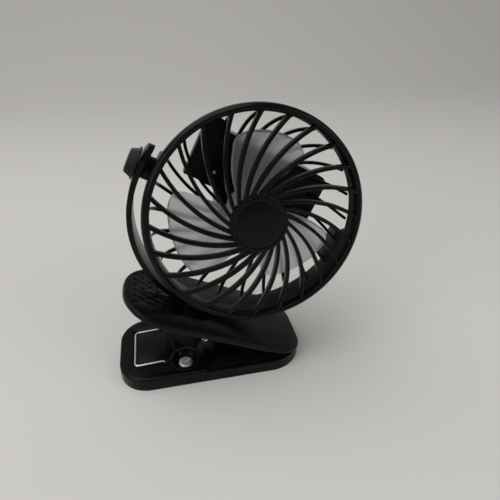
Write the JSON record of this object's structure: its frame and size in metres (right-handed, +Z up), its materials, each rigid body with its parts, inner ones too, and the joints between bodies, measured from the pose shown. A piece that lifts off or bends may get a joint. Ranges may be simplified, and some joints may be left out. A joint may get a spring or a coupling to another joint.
{
  "type": "clip fan",
  "caption": "Battery clip fan: a round caged head tilts in a yoke that swivels on the lever of a spring clip, with a hex knob at one side.",
  "frame": {"origin": "centre of the clip base's bottom face", "axes": "+X to the jaw tip of the clip, +Y to the back of the fan, away from the side it blows to, +Z up"},
  "size_m": [0.1399, 0.0724, 0.1541],
  "materials": {
    "base_shell": "satin black moulding",
    "base_cover": "satin black plate",
    "base_grip_pad": "soft black rubber",
    "base_screw": "bright plated steel",
    "hinge_pin": "plain steel",
    "torsion_spring": "bright plated spring wire",
    "lever_shell": "satin black moulding",
    "lever_grip_pad": "soft black rubber",
    "yoke": "smooth black moulding",
    "swivel_screw": "plated steel",
    "swivel_washer": "plain steel",
    "knob_cap": "satin black moulding",
    "knob_stud": "plated steel",
    "pivot_nut": "plated steel",
    "pivot_pin": "plain steel",
    "front_grille": "smooth black moulding",
    "head_drum": "smooth black moulding",
    "rear_grille": "smooth black moulding",
    "rear_cover": "smooth black moulding",
    "housing_screws": "plated steel",
    "motor_can": "zinc plated steel",
    "motor_bushes": "oiled bronze",
    "motor_shaft": "ground steel",
    "motor_armature": "varnished core",
    "battery": "shrink sleeve",
    "battery_contacts": "nickel plated",
    "circuit_board": "green board",
    "usb_socket": "tin plated shell",
    "switch_body": "black moulding",
    "power_button": "satin black moulding",
    "status_lamp": "clear lens",
    "impeller": "smooth pale grey moulding"
  },
  "bodies": {
    "base": {"base_shell": "base_shell", "base_cover": "base_cover", "base_grip_pad": "base_grip_pad", "base_screw": "base_screw", "hinge_pin": "hinge_pin", "torsion_spring": "torsion_spring"},
    "lever": {"lever_shell": "lever_shell", "lever_grip_pad": "lever_grip_pad"},
    "yoke": {"yoke": "yoke", "swivel_screw": "swivel_screw", "swivel_washer": "swivel_washer"},
    "tilt_knob": {"knob_cap": "knob_cap", "knob_stud": "knob_stud"},
    "head": {"front_grille": "front_grille", "head_drum": "head_drum", "rear_grille": "rear_grille", "rear_cover": "rear_cover", "motor_can": "motor_can", "motor_bushes": "motor_bushes", "battery": "battery", "battery_contacts": "battery_contacts", "circuit_board": "circuit_board", "usb_socket": "usb_socket", "housing_screws": "housing_screws", "pivot_nut": "pivot_nut", "pivot_pin": "pivot_pin", "status_lamp": "status_lamp", "switch_body": "switch_body"},
    "rotor": {"impeller": "impeller", "motor_shaft": "motor_shaft", "motor_armature": "motor_armature"},
    "button": {"power_button": "power_button"}
  },
  "joints": [
    {"name": "lever_hinge", "type": "hinge", "parent": "base", "child": "lever", "pos_m": [0.008, 0, 0.0175], "axis": [0, -1, 0], "range_deg": [0, 32], "stiffness_Nm_per_rad": 1, "springref_deg": -34.38, "deforming": ["torsion_spring"]},
    {"name": "yoke_swivel", "type": "hinge", "parent": "lever", "child": "yoke", "pos_m": [-0.0051, 0, 0.03761], "axis": [0.4718, 0, 0.8817], "range_deg": [-180, 180]},
    {"name": "head_tilt", "type": "hinge", "parent": "yoke", "child": "head", "pos_m": [0.02578, 0, 0.09532], "axis": [0.8807, -0.0471, -0.4713], "range_deg": [-68, 110]},
    {"name": "knob_turn", "type": "hinge", "parent": "yoke", "child": "tilt_knob", "pos_m": [-0.03235, 0.00311, 0.12642], "axis": [-0.8807, 0.0471, 0.4713], "range_deg": [0, 180]},
    {"name": "rotor_spin", "type": "hinge", "parent": "head", "child": "rotor", "pos_m": [0.02603, -0.01597, 0.09738], "axis": [-0.0154, 0.9917, -0.128], "continuous": true},
    {"name": "button_press", "type": "slide", "parent": "head", "child": "button", "axis": [0.0154, -0.9917, 0.128], "range_m": [0, 0.001], "stiffness_N_per_m": 400, "springref_m": -0.0005}
  ]
}
